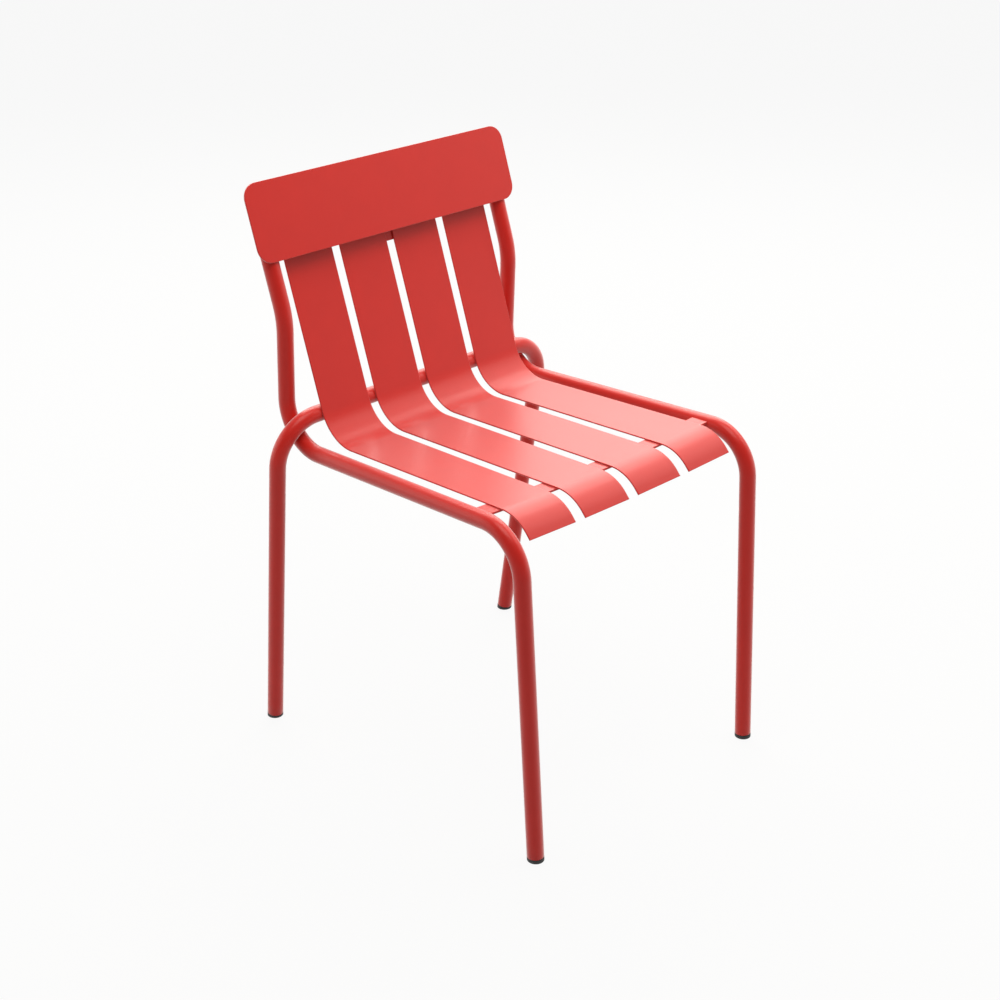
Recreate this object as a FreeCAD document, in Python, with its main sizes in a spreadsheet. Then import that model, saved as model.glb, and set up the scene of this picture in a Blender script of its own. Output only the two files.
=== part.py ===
import FreeCAD, Part
import math
import os
import Sketcher
from FreeCAD import Placement, Rotation, Vector

# Metal bistro chair: bent steel tubes, four slats that are back and seat in one, and a head plate.
# Millimetres. The front faces -Y, up is +Z, and the origin is on the floor under the middle.

# Driving sizes
SIZES = {
    # Tube and sheet stock
    "tube_diameter": 22.0,
    "tube_wall": 1.5,
    "tube_bend_radius": 60.0,
    "slat_thickness": 2.0,
    "plate_thickness": 2.5,
    "crossbar_thickness": 3.0,
    "crossbar_width": 25.0,
    "tie_thickness": 2.5,
    "weld_gap": 0.2,
    # Side view of the slats: the seat corner is where the back line meets the seat line
    "seat_corner_depth": 154.7,
    "seat_corner_height": 430.3,
    "back_lean_angle": 18.8,
    "seat_rise_angle": 2.5,
    "slat_bend_radius": 55.0,
    "lip_bend_radius": 55.0,
    "lip_run": 323.0,
    "lip_slope_angle": 48.0,
    "lip_length": 8.0,
    # Front view of the slats
    "slat_width": 78.0,
    "slat_pitch": 91.0,
    "slat_fan": 3.6,
    "seat_dish": 5.3,
    # Places along the back, up from the seat corner
    "hoop_rise": 39.5,
    "tie_rise": 229.8,
    "kink_rise": 170.0,
    "plate_rise": 242.7,
    "top_tube_rise": 328.0,
    # Main tube
    "tube_forward": 2.4,
    "kink_bend_radius": 110.0,
    "side_gap": 12.5,
    "back_corner_height": 418.6,
    "front_flare": 9.0,
    "front_corner_depth": 226.8,
    "front_corner_height": 444.4,
    "front_draw_in": 4.7,
    "front_foot_depth": 252.7,
    # Rear leg hoop
    "hoop_flare": 40.8,
    "rear_draw_in": 14.0,
    "rear_foot_depth": 242.0,
    # Head plate, tie plate and crossbar
    "plate_overhang": 12.5,
    "plate_height": 102.0,
    "plate_corner": 20.0,
    "tie_width": 45.0,
    "tie_height": 42.0,
    "tie_corner": 4.0,
    "crossbar_run": 308.7,
    # Foot glides
    "glide_height": 5.0,
    "glide_stem": 22.0,
    "glide_fit": 0.15,
    "glide_chamfer": 0.8,
    # Weld beads
    "bead_length": 14.0,
    "slat_bead_length": 36.0,
    "bead_diameter": 3.2,
    "bead_clearance": 0.05,
}

SIDES = {"left": -1, "right": 1}

# Distances of the right half's slats from the middle, in pitches
ORDERS = (0.5, 1.5)

doc = FreeCAD.newDocument("bistro_chair")
sheet = doc.addObject("Spreadsheet::Sheet", "sizes")
for row, (alias, number) in enumerate(SIZES.items(), start=1):
    sheet.set(f"A{row}", alias)
    sheet.set(f"B{row}", str(number))
    sheet.setAlias(f"B{row}", alias)
doc.recompute()


def size(alias):
    return float(sheet.get(alias))


def bind(target, path, formula):
    """Tie a property to the sheet; words in braces name its cells."""
    expression = formula.replace("{", "<<sizes>>.").replace("}", "")
    target.setExpression(path, expression)


sheet.Label = "sizes"

# Directions in side view: up along the back, forward along the seat, and square to the back
LEAN = math.radians(size("back_lean_angle"))
RISE = math.radians(size("seat_rise_angle"))
UP_BACK = Vector(0, math.sin(LEAN), math.cos(LEAN))
BEHIND_BACK = Vector(0, math.cos(LEAN), -math.sin(LEAN))
SEAT_CORNER = Vector(0, size("seat_corner_depth"), size("seat_corner_height"))
RADIUS = size("tube_diameter") / 2
BORE = RADIUS - size("tube_wall")

# Half widths: the uprights stand a side gap clear of the slats, and the rest follows them
UPRIGHT = (3 * size("slat_pitch") + size("slat_width")) / 2 + size("side_gap") + RADIUS
FRONT_WIDTH = UPRIGHT + size("front_flare")
HOOP_WIDTH = UPRIGHT + size("hoop_flare")
SPREAD_CELLS = "(3 * {slat_pitch} + {slat_width} + 2 * {side_gap} + {tube_diameter})"
FRONT_CELLS = f"({SPREAD_CELLS} / 2 + {{front_flare}})"


def on_back(across, along, behind):
    """A point by its distance across, along and behind the front face of the slat backs."""
    return SEAT_CORNER + Vector(across, 0, 0) + UP_BACK * along + BEHIND_BACK * behind


# Tube centrelines: straight runs joined by tangent arcs
def bent_path(points, radii):
    """A wire through the points, rounded at each inner one."""
    edges = []
    last = points[0]
    for before, corner, after, radius in zip(points, points[1:], points[2:], radii):
        towards = (before - corner).normalize()
        onwards = (after - corner).normalize()
        half = towards.getAngle(onwards) / 2
        reach = radius / math.tan(half)
        middle = (towards + onwards).normalize() * (radius / math.sin(half) - radius)
        start = corner + towards * reach
        end = corner + onwards * reach
        edges.append(Part.LineSegment(last, start).toShape())
        edges.append(Part.Arc(start, corner + middle, end).toShape())
        last = end
    edges.append(Part.LineSegment(last, points[-1]).toShape())
    return Part.Wire(edges)


def mirrored(points):
    return [Vector(-point.x, point.y, point.z) for point in reversed(points)]


def tube_end(foot, corner):
    """Where a leg's tube stops above its foot, to leave room for the glide."""
    up = (corner - foot).normalize()
    return foot + up * (size("glide_height") + size("weld_gap"))


HOOP_CORNER = on_back(
    HOOP_WIDTH,
    size("hoop_rise"),
    size("slat_thickness") + size("weld_gap") + RADIUS,
)
REAR_FOOT = Vector(HOOP_WIDTH - size("rear_draw_in"), size("rear_foot_depth"), 0)
FRONT_FOOT = Vector(FRONT_WIDTH - size("front_draw_in"), -size("front_foot_depth"), 0)
FRONT_CORNER = Vector(FRONT_WIDTH, -size("front_corner_depth"), size("front_corner_height"))
KINK = on_back(UPRIGHT, size("kink_rise"), -size("tube_forward"))
TOP_CORNER = on_back(UPRIGHT, size("top_tube_rise"), -size("tube_forward"))


def hoop_path():
    half = [tube_end(REAR_FOOT, HOOP_CORNER), HOOP_CORNER]
    return bent_path(half + mirrored(half), [size("tube_bend_radius")] * 2)


def main_path(back_corner_depth):
    back_corner = Vector(UPRIGHT, back_corner_depth, size("back_corner_height"))
    bend = size("tube_bend_radius")
    half = [tube_end(FRONT_FOOT, FRONT_CORNER), FRONT_CORNER, back_corner, KINK, TOP_CORNER]
    half_radii = [bend, bend, size("kink_bend_radius"), bend]
    return bent_path(half + mirrored(half), half_radii + half_radii[::-1])


def nested_depth():
    """Depth of the main tube's back corners at which its bends just clear the hoop's corners."""
    hoop = hoop_path()
    wanted = size("tube_diameter") + size("weld_gap")
    near = HOOP_CORNER.y + wanted
    far = near + RADIUS
    for _ in range(12):
        near_gap = main_path(near).distToShape(hoop)[0] - wanted
        far_gap = main_path(far).distToShape(hoop)[0] - wanted
        if abs(far_gap) < 0.001 or near_gap == far_gap:
            break
        near, far = far, far - far_gap * (far - near) / (far_gap - near_gap)
    return far


BACK_CORNER = Vector(UPRIGHT, nested_depth(), size("back_corner_height"))
print(f"back corner of the main tube {BACK_CORNER.y:.1f} mm behind the middle")


def swept_rod(name, path, formula):
    """A round rod along the path, with its radius tied to the sheet."""
    first = path.Shape.Edges[0]
    start = path.Shape.OrderedVertexes[0].Point
    heading = first.tangentAt(first.FirstParameter)
    section = doc.addObject("Part::Circle", name + "_section")
    bind(section, "Radius", formula)
    section.Placement = Placement(start, Rotation(Vector(0, 0, 1), heading))
    rod = doc.addObject("Part::Sweep", name)
    rod.Sections = [section]
    rod.Spine = (path, [f"Edge{number + 1}" for number in range(len(path.Shape.Edges))])
    rod.Solid = True
    rod.Frenet = False
    return rod


def hollow_tube(label, wire):
    path = doc.addObject("Part::Feature", label + "_centreline")
    path.Shape = wire
    outside = swept_rod(label + "_outside", path, "{tube_diameter} / 2")
    inside = swept_rod(label + "_inside", path, "{tube_diameter} / 2 - {tube_wall}")
    tube = doc.addObject("Part::Cut", label)
    tube.Base = outside
    tube.Tool = inside
    tube.Label = label
    return tube


# Bodies and sketches
def new_body(label):
    body = doc.addObject("PartDesign::Body", label)
    body.Label = label
    return body


def new_sketch(body, role, name):
    sketch = body.newObject("Sketcher::SketchObject", name)
    plane = next(item for item in body.Origin.OriginFeatures if item.Role == role)
    sketch.AttachmentSupport = [(plane, "")]
    sketch.MapMode = "FlatFace"
    return sketch


START, END, CENTRE = range(1, 4)
ORIGIN = (-1, START)


def add_line(sketch, start, end, construction=False):
    segment = Part.LineSegment(Vector(*start, 0), Vector(*end, 0))
    return sketch.addGeometry(segment, construction)


def add_arc(sketch, centre, radius, first, last):
    circle = Part.Circle(Vector(*centre, 0), Vector(0, 0, 1), radius)
    return sketch.addGeometry(Part.ArcOfCircle(circle, first, last), False)


def fix(sketch, kind, *where, name, value, formula):
    """A named dimension, tied to the sheet."""
    number = sketch.addConstraint(Sketcher.Constraint(kind, *where, value))
    sketch.renameConstraint(number, name)
    bind(sketch, "Constraints." + name, formula)


def relate(sketch, kind, *where):
    sketch.addConstraint(Sketcher.Constraint(kind, *where))


def extrude(body, sketch, name, formula, midplane=False):
    pad = body.newObject("PartDesign::Pad", name)
    pad.Profile = sketch
    pad.Midplane = midplane
    bind(pad, "Length", formula)
    sketch.Visibility = False
    return pad


def along(point, direction, distance):
    return (point[0] + direction[0] * distance, point[1] + direction[1] * distance)


def heading(angle):
    return (math.cos(angle), math.sin(angle))


# Slats: each one strip for back, seat and rolled lip, drawn in side view at both of its long edges
def slat_edge(body, name, across, across_formula):
    """Side outline of a slat at one distance across the seat, where the dish sets its rise."""
    sketch = new_sketch(body, "YZ_Plane", name)
    bind(sketch, "AttachmentOffset.Base.z", across_formula)
    corner = (size("seat_corner_depth"), size("seat_corner_height"))
    run = size("crossbar_run")
    lift = size("seat_dish") * (across / FRONT_WIDTH) ** 2
    rise = math.atan(math.tan(RISE) + lift / run)
    thickness = size("slat_thickness")
    bend = size("slat_bend_radius")
    roll = size("lip_bend_radius")
    back_way = heading(math.pi / 2 - LEAN)
    seat_way = heading(math.pi - rise)
    lip_way = heading(math.pi + math.radians(size("lip_slope_angle")))
    opening = math.pi / 2 - rise + LEAN
    reach = bend / math.tan(opening / 2)
    bend_centre = along(along(corner, back_way, reach), heading(math.pi - LEAN), bend)
    clearance = RADIUS + size("weld_gap")
    top_length = size("top_tube_rise") - math.sqrt(clearance**2 - size("tube_forward") ** 2)
    lip_start = along(corner, seat_way, size("lip_run") / math.cos(rise))
    roll_centre = along(lip_start, heading(-math.pi / 2 - rise), roll)
    roll_first = math.pi / 2 - rise
    roll_last = math.pi / 2 + math.radians(size("lip_slope_angle"))

    top = along(corner, back_way, top_length)
    bend_top = along(corner, back_way, reach)
    bend_front = along(corner, seat_way, reach)
    lip_end = along(along(roll_centre, heading(roll_last), roll), lip_way, size("lip_length"))
    inward = heading(roll_last + math.pi)
    behind = heading(-LEAN)
    below = heading(-math.pi / 2 - rise)

    back_front = add_line(sketch, bend_top, top)
    bend_inner = add_arc(sketch, bend_centre, bend, -math.pi / 2 - rise, -LEAN)
    seat_top = add_line(sketch, bend_front, lip_start)
    roll_outer = add_arc(sketch, roll_centre, roll, roll_first, roll_last)
    lip_front = add_line(sketch, along(lip_end, lip_way, -size("lip_length")), lip_end)
    lip_edge = add_line(sketch, lip_end, along(lip_end, inward, thickness))
    lip_under = add_line(
        sketch,
        along(lip_end, inward, thickness),
        along(along(lip_end, lip_way, -size("lip_length")), inward, thickness),
    )
    roll_inner = add_arc(sketch, roll_centre, roll - thickness, roll_first, roll_last)
    seat_under = add_line(
        sketch, along(lip_start, below, thickness), along(bend_front, below, thickness)
    )
    bend_outer = add_arc(sketch, bend_centre, bend + thickness, -math.pi / 2 - rise, -LEAN)
    back_rear = add_line(
        sketch, along(bend_top, behind, thickness), along(top, behind, thickness)
    )
    top_edge = add_line(sketch, along(top, behind, thickness), top)
    seat_corner = sketch.addGeometry(Part.Point(Vector(*corner, 0)), True)
    at_crossbar = along(corner, seat_way, run / math.cos(rise))
    rest = sketch.addGeometry(Part.Point(Vector(*at_crossbar, 0)), True)

    relate(sketch, "Tangent", bend_inner, END, back_front, START)
    relate(sketch, "Tangent", bend_inner, START, seat_top, START)
    relate(sketch, "Tangent", seat_top, END, roll_outer, START)
    relate(sketch, "Tangent", roll_outer, END, lip_front, START)
    relate(sketch, "Coincident", lip_front, END, lip_edge, START)
    relate(sketch, "Coincident", lip_edge, END, lip_under, START)
    relate(sketch, "Tangent", lip_under, END, roll_inner, END)
    relate(sketch, "Tangent", roll_inner, START, seat_under, START)
    relate(sketch, "Tangent", seat_under, END, bend_outer, START)
    relate(sketch, "Tangent", bend_outer, END, back_rear, START)
    relate(sketch, "Coincident", back_rear, END, top_edge, START)
    relate(sketch, "Coincident", top_edge, END, back_front, END)
    relate(sketch, "Coincident", bend_inner, CENTRE, bend_outer, CENTRE)
    relate(sketch, "Coincident", roll_outer, CENTRE, roll_inner, CENTRE)
    relate(sketch, "Perpendicular", lip_front, lip_edge)
    relate(sketch, "Perpendicular", back_front, top_edge)
    relate(sketch, "Parallel", back_front, back_rear)
    relate(sketch, "Parallel", seat_top, seat_under)
    relate(sketch, "Parallel", lip_front, lip_under)
    relate(sketch, "PointOnObject", seat_corner, START, back_front)
    relate(sketch, "PointOnObject", seat_corner, START, seat_top)
    relate(sketch, "PointOnObject", rest, START, seat_top)
    fix(sketch, "DistanceX", *ORIGIN, seat_corner, START,
        name="corner_depth", value=corner[0], formula="{seat_corner_depth}")
    fix(sketch, "DistanceY", *ORIGIN, seat_corner, START,
        name="corner_height", value=corner[1], formula="{seat_corner_height}")
    fix(sketch, "DistanceX", rest, START, seat_corner, START,
        name="crossbar_run", value=run, formula="{crossbar_run}")
    fix(sketch, "DistanceY", seat_corner, START, rest, START,
        name="crossbar_lift", value=run * math.tan(rise),
        formula="{crossbar_run} * tan({seat_rise_angle}) + {seat_dish}"
                f" * ({across_formula})^2 / {FRONT_CELLS}^2")
    fix(sketch, "Angle", back_front,
        name="back_angle", value=math.pi / 2 - LEAN, formula="90 - {back_lean_angle}")
    fix(sketch, "Angle", lip_under,
        name="lip_angle", value=math.radians(size("lip_slope_angle")), formula="{lip_slope_angle}")
    fix(sketch, "Radius", bend_inner,
        name="bend_radius", value=bend, formula="{slat_bend_radius}")
    fix(sketch, "Radius", roll_outer,
        name="roll_radius", value=roll, formula="{lip_bend_radius}")
    fix(sketch, "Distance", lip_edge,
        name="thickness", value=thickness, formula="{slat_thickness}")
    fix(sketch, "Distance", lip_front,
        name="lip_length", value=size("lip_length"), formula="{lip_length}")
    fix(sketch, "Distance", seat_corner, START, back_front, END,
        name="back_length", value=top_length,
        formula="{top_tube_rise} - sqrt(({tube_diameter} / 2 + {weld_gap})^2 - {tube_forward}^2)")
    fix(sketch, "DistanceX", seat_top, END, seat_corner, START,
        name="lip_run", value=size("lip_run"), formula="{lip_run}")
    return sketch


def closed_outline(sketch, corners):
    """Lines round the corners, each joined to the next."""
    lines = [add_line(sketch, *ends) for ends in zip(corners, corners[1:] + corners[:1])]
    for line, following in zip(lines, lines[1:] + lines[:1]):
        relate(sketch, "Coincident", line, END, following, START)
    return lines


def slat_outline(body, order):
    """Plan of the waste round a slat: its sides run straight back and fan out to the front."""
    sketch = new_sketch(body, "XY_Plane", body.Label + "_outline")
    inner = order * size("slat_pitch") - size("slat_width") / 2
    outer = inner + size("slat_width")
    middle = size("seat_corner_depth")
    back = middle + size("top_tube_rise")
    front = middle - 2 * size("lip_run")
    fan = 2 * order * size("slat_fan")
    waste = 2 * HOOP_WIDTH
    corners = [(inner, back), (inner, middle), (inner + fan, front)]
    corners += [(outer + fan, front), (outer, middle), (outer, back)]
    inner_back, inner_front, end, outer_front, outer_back, top = closed_outline(sketch, corners)
    relate(sketch, "Vertical", inner_back)
    relate(sketch, "Vertical", outer_back)
    relate(sketch, "Horizontal", end)
    relate(sketch, "Horizontal", top)
    relate(sketch, "Horizontal", inner_front, START, outer_back, START)
    relate(sketch, "Parallel", inner_front, outer_front)
    fix(sketch, "DistanceX", *ORIGIN, inner_front, START, name="inner_side", value=inner,
        formula=f"{order} * {{slat_pitch}} - {{slat_width}} / 2")
    fix(sketch, "DistanceY", *ORIGIN, inner_front, START, name="corner_depth", value=middle,
        formula="{seat_corner_depth}")
    fix(sketch, "DistanceX", inner_front, START, outer_back, START, name="width",
        value=outer - inner, formula="{slat_width}")
    fix(sketch, "DistanceY", inner_front, START, inner_back, START, name="back_run",
        value=back - middle, formula="{top_tube_rise}")
    fix(sketch, "DistanceX", inner_front, START, inner_front, END, name="fan", value=fan,
        formula=f"2 * {order} * {{slat_fan}}")
    fix(sketch, "DistanceY", inner_front, END, inner_front, START, name="front_run",
        value=middle - front, formula="2 * {lip_run}")
    sheet_corners = [(-waste, -waste), (waste, -waste), (waste, waste), (-waste, waste)]
    sheet_lines = closed_outline(sketch, sheet_corners)
    for line, kind in zip(sheet_lines, ("Horizontal", "Vertical") * 2):
        relate(sketch, kind, line)
    relate(sketch, "Symmetric", sheet_lines[0], START, sheet_lines[2], START, *ORIGIN)
    reach = f"2 * ({SPREAD_CELLS} + 2 * {{hoop_flare}})"
    fix(sketch, "DistanceX", sheet_lines[0], START, sheet_lines[0], END, name="waste_width",
        value=2 * waste, formula=reach)
    fix(sketch, "DistanceY", sheet_lines[1], START, sheet_lines[1], END, name="waste_length",
        value=2 * waste, formula=reach)
    return sketch


def slat(label, order):
    """A slat of the right half, its middle at order pitches from the chair's middle."""
    body = new_body(label + "_blank")
    inner = f"{order} * {{slat_pitch}} - {{slat_width}} / 2 - {{slat_fan}}"
    outer = f"{order} * ({{slat_pitch}} + 2 * {{slat_fan}}) + {{slat_width}} / 2"
    inner_across = order * size("slat_pitch") - size("slat_width") / 2 - size("slat_fan")
    outer_across = order * (size("slat_pitch") + 2 * size("slat_fan")) + size("slat_width") / 2
    first = slat_edge(body, label + "_inner_edge", inner_across, inner)
    second = slat_edge(body, label + "_outer_edge", outer_across, outer)
    strip = body.newObject("PartDesign::AdditiveLoft", label + "_strip")
    strip.Profile = first
    strip.Sections = [second]
    strip.Ruled = True
    trim = body.newObject("PartDesign::Pocket", label + "_trim")
    trim.Profile = slat_outline(body, order)
    trim.Type = "ThroughAll"
    trim.Midplane = True
    body.Tip = trim
    coped = doc.addObject("Part::Cut", label)
    coped.Base = body
    coped.Tool = top_cope
    coped.Label = label
    return coped


# Flat plates: outline with rounded corners, standing along the back
def flat_plate(label, stem, half, half_formula, along_formula, behind_formula):
    """A plate of a half width, whose other sizes are the sheet's cells that start with the stem."""
    body = new_body(label)
    sketch = new_sketch(body, "XY_Plane", label + "_outline")
    tall = size(stem + "_height")
    lines = closed_outline(sketch, [(-half, 0), (half, 0), (half, tall), (-half, tall)])
    for line, kind in zip(lines, ("Horizontal", "Vertical") * 2):
        relate(sketch, kind, line)
    fix(sketch, "DistanceX", *ORIGIN, lines[0], END, name="half_width", value=half,
        formula=half_formula)
    fix(sketch, "DistanceX", lines[0], START, lines[0], END, name="width", value=2 * half,
        formula=f"2 * ({half_formula})")
    fix(sketch, "DistanceY", lines[1], START, lines[1], END, name="height", value=tall,
        formula=f"{{{stem}_height}}")
    relate(sketch, "PointOnObject", lines[0], START, -1)
    pad = extrude(body, sketch, label + "_sheet", f"{{{stem}_thickness}}")
    doc.recompute()
    rounded = body.newObject("PartDesign::Fillet", label + "_corners")
    uprights = []
    for number, edge in enumerate(pad.Shape.Edges, start=1):
        if abs(edge.tangentAt(edge.FirstParameter).z) > 0.999:
            uprights.append(f"Edge{number}")
    rounded.Base = (pad, uprights)
    bind(rounded, "Radius", f"{{{stem}_corner}}")
    body.Tip = rounded
    body.Placement.Rotation = Rotation(Vector(1, 0, 0), 90 - size("back_lean_angle"))
    bind(body, "Placement.Rotation.Angle", "90 - {back_lean_angle}")
    bind(body, "Placement.Base.y",
         f"{{seat_corner_depth}} + ({along_formula}) * sin({{back_lean_angle}})"
         f" + ({behind_formula}) * cos({{back_lean_angle}})")
    bind(body, "Placement.Base.z",
         f"{{seat_corner_height}} + ({along_formula}) * cos({{back_lean_angle}})"
         f" - ({behind_formula}) * sin({{back_lean_angle}})")
    return body


# Crossbar: a flat bar bowed to the dish of the seat, coped round both rails
def bowed_bar(label):
    body = new_body(label + "_bar")
    sketch = new_sketch(body, "XZ_Plane", label + "_bow")
    half = FRONT_WIDTH
    bow = size("seat_dish")
    thickness = size("crossbar_thickness")
    radius = (half**2 + bow**2) / (2 * bow)
    sweep = math.asin(half / radius)
    under_sweep = math.asin(half / (radius + thickness))
    down = -math.pi / 2
    centre = (0, radius)
    upper = add_arc(sketch, centre, radius, down - sweep, down + sweep)
    lower = add_arc(sketch, centre, radius + thickness, down - under_sweep, down + under_sweep)
    low = radius - math.sqrt((radius + thickness) ** 2 - half**2)
    ends = []
    for side in SIDES.values():
        ends.append(add_line(sketch, (side * half, bow), (side * half, low)))
    for end, position in zip(ends, (START, END)):
        relate(sketch, "Coincident", end, START, upper, position)
        relate(sketch, "Coincident", end, END, lower, position)
        relate(sketch, "Vertical", end)
    relate(sketch, "Coincident", upper, CENTRE, lower, CENTRE)
    relate(sketch, "PointOnObject", *ORIGIN, upper)
    relate(sketch, "PointOnObject", upper, CENTRE, -2)
    fix(sketch, "DistanceX", upper, START, upper, END, name="length", value=2 * half,
        formula="2 * " + FRONT_CELLS)
    fix(sketch, "DistanceY", *ORIGIN, upper, END, name="bow", value=bow, formula="{seat_dish}")
    fix(sketch, "Radius", lower, name="under_radius", value=radius + thickness,
        formula=f"({FRONT_CELLS}^2 + {{seat_dish}}^2) / (2 * {{seat_dish}})"
                " + {crossbar_thickness}")
    extrude(body, sketch, label + "_width", "{crossbar_width}", midplane=True)
    body.Placement.Rotation = Rotation(Vector(1, 0, 0), -size("seat_rise_angle"))
    bind(body, "Placement.Rotation.Angle", "-{seat_rise_angle}")
    bind(body, "Placement.Base.y", "{seat_corner_depth} - {crossbar_run}")
    bind(body, "Placement.Base.z",
         "{seat_corner_height} + {crossbar_run} * tan({seat_rise_angle})"
         " - ({slat_thickness} + {weld_gap}) / cos({seat_rise_angle})")
    return body


def rail_cope(name, side):
    """A rod round the seat rail's axis that leaves the weld gap to the crossbar's end."""
    front = Vector(side * FRONT_CORNER.x, FRONT_CORNER.y, FRONT_CORNER.z)
    back = Vector(side * BACK_CORNER.x, BACK_CORNER.y, BACK_CORNER.z)
    rod = doc.addObject("Part::Cylinder", name)
    bind(rod, "Radius", "{tube_diameter} / 2 + {weld_gap}")
    rod.Height = (back - front).Length
    rod.Placement = Placement(front, Rotation(Vector(0, 0, 1), back - front))
    return rod


def crossbar(label):
    copes = doc.addObject("Part::Compound", label + "_copes")
    copes.Links = [rail_cope(f"{name}_rail_cope", side) for name, side in SIDES.items()]
    bar = doc.addObject("Part::Cut", label)
    bar.Base = bowed_bar(label)
    bar.Tool = copes
    bar.Label = label
    return bar


# Foot glides: a turned plug with a flange, cut flat by the floor
def glide(label, foot, corner):
    body = new_body(label)
    sketch = new_sketch(body, "XZ_Plane", label + "_profile")
    stem = BORE - size("glide_fit")
    height = size("glide_height")
    top = height + size("glide_stem")
    below = size("glide_height")
    corners = [(0, -below), (RADIUS, -below), (RADIUS, height)]
    corners += [(stem, height), (stem, top), (0, top)]
    base, rim, shoulder, neck, cap, axis = closed_outline(sketch, corners)
    for line in (base, shoulder, cap):
        relate(sketch, "Horizontal", line)
    for line in (rim, neck, axis):
        relate(sketch, "Vertical", line)
    relate(sketch, "PointOnObject", axis, START, -2)
    fix(sketch, "DistanceX", base, START, base, END, name="flange", value=RADIUS,
        formula="{tube_diameter} / 2")
    fix(sketch, "DistanceX", cap, END, cap, START, name="stem", value=stem,
        formula="{tube_diameter} / 2 - {tube_wall} - {glide_fit}")
    fix(sketch, "DistanceY", *ORIGIN, rim, END, name="height", value=height,
        formula="{glide_height}")
    fix(sketch, "DistanceY", rim, START, rim, END, name="blank", value=2 * height,
        formula="2 * {glide_height}")
    fix(sketch, "DistanceY", neck, START, neck, END, name="stem_length",
        value=size("glide_stem"), formula="{glide_stem}")
    turned = body.newObject("PartDesign::Revolution", label + "_turned")
    turned.Profile = sketch
    turned.ReferenceAxis = (sketch, ["V_Axis"])
    turned.Angle = 360
    body.Placement = Placement(foot, Rotation(Vector(0, 0, 1), corner - foot))
    floor = body.newObject("PartDesign::SubtractiveBox", label + "_floor")
    for side in ("Length", "Width", "Height"):
        bind(floor, side, "2 * {tube_diameter}")
    block = 2 * size("tube_diameter")
    under = Placement(foot + Vector(-block / 2, -block / 2, -block), Rotation())
    floor.Placement = body.Placement.inverse() * under
    doc.recompute()
    rim_edges = []
    for number, edge in enumerate(floor.Shape.Edges, start=1):
        heights = [(body.Placement * point).z for point in edge.discretize(5)]
        if max(abs(level) for level in heights) < RADIUS / 1000:
            rim_edges.append(f"Edge{number}")
    bevelled = body.newObject("PartDesign::Chamfer", label + "_bevel")
    bevelled.Base = (floor, rim_edges)
    bind(bevelled, "Size", "{glide_chamfer}")
    body.Tip = bevelled
    return body


# Weld beads: eight-sided rods that lie in the creases between the pieces they join
BEAD = size("bead_diameter") / 2 + size("bead_clearance")


def bead(label, middle, direction, length):
    """A rod along the direction, with its middle at the point; the length names a size."""
    rod = doc.addObject("Part::Prism", label)
    rod.Polygon = 8
    bind(rod, "Circumradius", "{bead_diameter} / 2")
    bind(rod, "Height", f"{{{length}}}")
    start = middle - direction * (size(length) / 2)
    rod.Placement = Placement(start, Rotation(Vector(0, 0, 1), direction))
    return rod


def weld_group(label, beads):
    group = doc.addObject("Part::Compound", label)
    group.Links = beads
    group.Label = label
    return group


def with_mirror_images(beads):
    twins = [mirror(one, one.Label.replace("right", "left")) for one in beads]
    return beads + twins


def beside_tube(off_axis):
    """Sideways distance from a tube's axis at which a bead touches it, at a distance off it."""
    return math.sqrt((RADIUS + BEAD) ** 2 - off_axis**2)


def hoop_welds():
    """Beads in front of and behind the spots where the main tube's bends meet the hoop's."""
    main = main_path(BACK_CORNER.y)
    hoop = hoop_path()
    _, meetings, places = main.distToShape(hoop)
    on_main, on_hoop = meetings[0]
    _, main_edge, main_at, _, hoop_edge, hoop_at = places[0]
    main_way = main.Edges[main_edge].tangentAt(main_at)
    hoop_way = hoop.Edges[hoop_edge].tangentAt(hoop_at)
    if main_way.dot(hoop_way) < 0:
        hoop_way = hoop_way * -1
    way = (main_way + hoop_way).normalize()
    sideways = way.cross(on_hoop - on_main).normalize()
    middle = (on_main + on_hoop) / 2
    beads = []
    for name, turn in (("front", 1), ("back", -1)):
        outwards = sideways * turn
        away = beside_tube((on_hoop - on_main).Length / 2)
        half = way * (size("bead_length") / 2)
        for _ in range(24):
            spot = middle + outwards * away
            line = Part.LineSegment(spot - half, spot + half).toShape()
            nearest = min(line.distToShape(path)[0] for path in (main, hoop))
            away += RADIUS + BEAD - nearest
        beads.append(bead(f"right_hoop_{name}_bead", spot, way, "bead_length"))
    return weld_group("hoop_welds", with_mirror_images(beads))


def slat_beads(label, pitch, aside, spot_at):
    """A long bead across each slat, along the line whose points are given by distance across."""
    beads = []
    half = size("slat_bead_length") / 2
    for name, order in zip(("inner", "outer"), ORDERS):
        across = order * pitch - aside
        way = (spot_at(across + half) - spot_at(across - half)).normalize()
        title = f"right_{name}_{label}_bead"
        beads.append(bead(title, spot_at(across), way, "slat_bead_length"))
    return weld_group(label + "_welds", with_mirror_images(beads))


def slat_hoop_welds():
    up = size("hoop_rise") + beside_tube(RADIUS + size("weld_gap") - BEAD)
    behind = size("slat_thickness") + BEAD

    def spot_at(across):
        return on_back(across, up, behind)

    return slat_beads("slat_hoop", size("slat_pitch"), 0, spot_at)


def slat_top_welds():
    """Beads at the slat tops, off their middles to keep to the tube's straight run."""
    behind = size("slat_thickness") + BEAD
    up = size("top_tube_rise") - beside_tube(behind + size("tube_forward"))

    def spot_at(across):
        return on_back(across, up, behind)

    return slat_beads("slat_top", size("slat_pitch"), size("slat_width") / 4, spot_at)


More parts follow.
